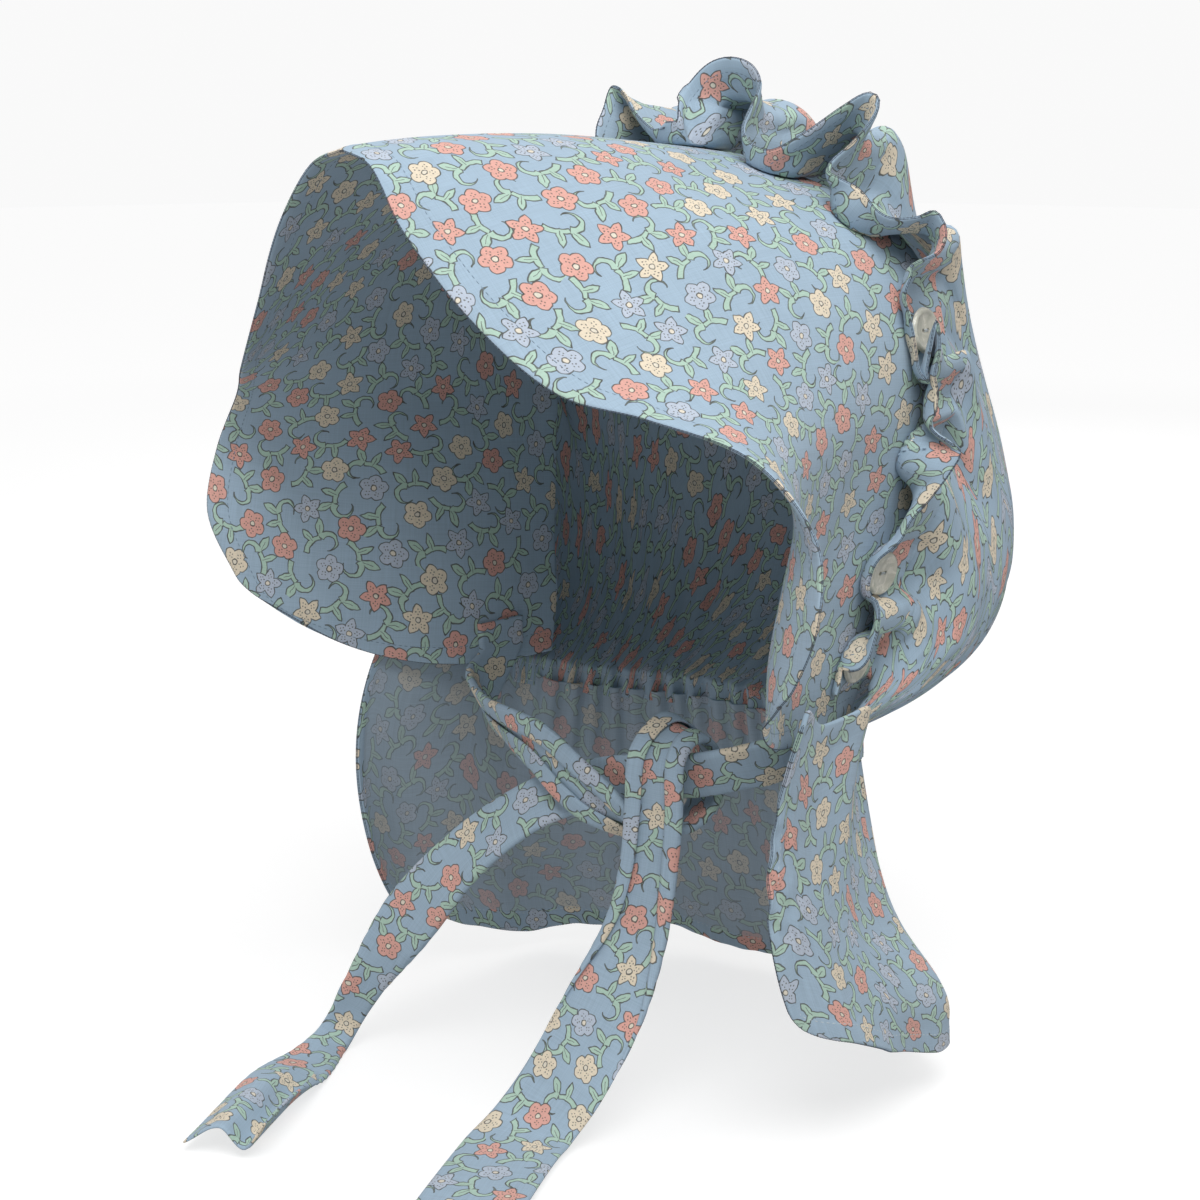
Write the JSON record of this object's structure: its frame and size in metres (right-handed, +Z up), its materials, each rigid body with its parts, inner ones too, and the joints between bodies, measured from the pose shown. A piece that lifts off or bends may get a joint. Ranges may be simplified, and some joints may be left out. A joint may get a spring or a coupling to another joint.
{
  "type": "prairie bonnet",
  "caption": "Cotton sun bonnet with a flared stiff brim, a gathered crown buttoned on along a ruffle, a neck curtain and two knotted ties.",
  "frame": {"origin": "where the top of the head meets the inside of the brim's back edge, on the middle plane", "axes": "+Z up, the face looks along -Y, +X is the wearer's left"},
  "size_m": [0.34, 0.3677, 0.4165],
  "materials": {
    "calico": "matt printed cotton",
    "pearl_shell": "polished shell"
  },
  "bodies": {
    "root": {"brim": "calico", "crown": "calico", "curtain": "calico", "tie_near": "calico", "tie_far": "calico", "button_01": "pearl_shell", "button_02": "pearl_shell", "button_03": "pearl_shell", "button_04": "pearl_shell", "button_05": "pearl_shell", "button_06": "pearl_shell", "button_07": "pearl_shell", "button_08": "pearl_shell", "button_09": "pearl_shell", "button_10": "pearl_shell", "button_11": "pearl_shell", "button_12": "pearl_shell", "button_13": "pearl_shell"}
  },
  "joints": []
}
